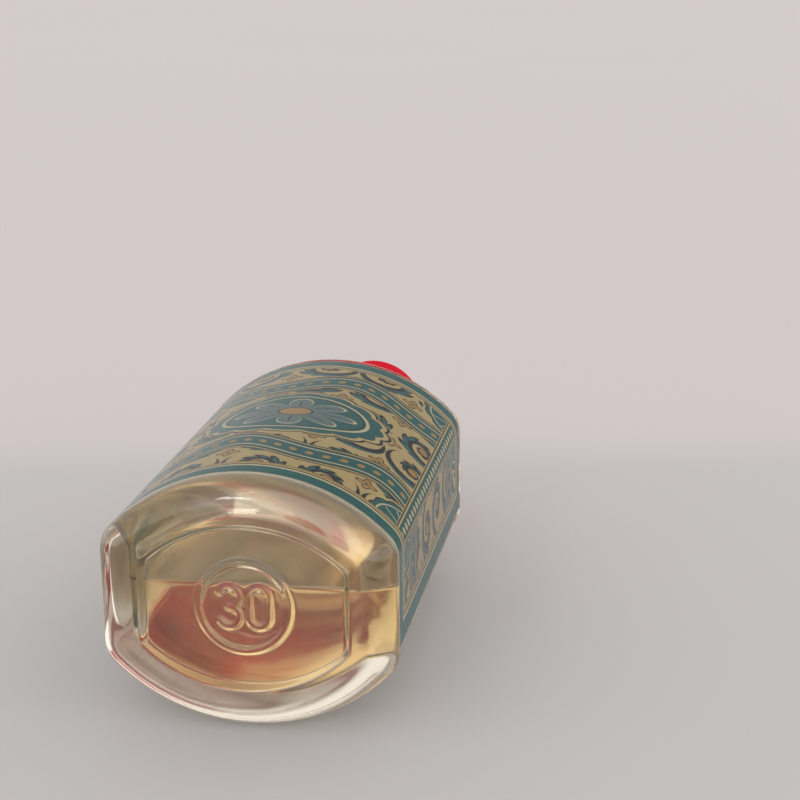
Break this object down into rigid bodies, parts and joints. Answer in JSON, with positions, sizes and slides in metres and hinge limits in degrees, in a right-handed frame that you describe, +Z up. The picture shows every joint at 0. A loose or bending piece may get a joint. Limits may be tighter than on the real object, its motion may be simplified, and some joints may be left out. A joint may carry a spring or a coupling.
{
  "type": "aftershave bottle",
  "caption": "Small clear glass splash bottle with bowed faces, a wrap label, pale liquid and a red screw cap that unscrews from its threaded neck.",
  "frame": {"origin": "middle of the bounding box at the lowest line of the bottle's back, on which it lies", "axes": "+X across the bottle, +Y along its axis from base to cap, +Z up out of the labelled front"},
  "size_m": [0.034, 0.0838, 0.0296],
  "materials": {
    "clear_glass": "polished, slightly wavy",
    "printed_paper": "printed paper, satin",
    "pale_liquid": "clear pale yellow liquid",
    "white_plastic": "moulded polyethylene",
    "liner_foam": "foamed polyethylene",
    "red_plastic": "moulded, glossy"
  },
  "bodies": {
    "bottle": {"glass_bottle": "clear_glass", "wrap_label": "printed_paper", "aftershave_fill": "pale_liquid", "pour_insert": "white_plastic"},
    "wad": {"cap_liner": "liner_foam"},
    "cap": {"screw_cap": "red_plastic"}
  },
  "joints": [
    {"name": "cap_lift", "type": "slide", "parent": "bottle", "child": "wad", "axis": [0, 1, 0], "range_m": [0, 0.0125]},
    {"name": "cap_turn", "type": "hinge", "parent": "wad", "child": "cap", "pos_m": [0, 0.034, 0.0148], "axis": [0, 1, 0], "range_deg": [0, 1800]}
  ],
  "couplings": [
    {"joint": "cap_turn", "follows": "cap_lift", "rad_per_m": 2513.3}
  ]
}
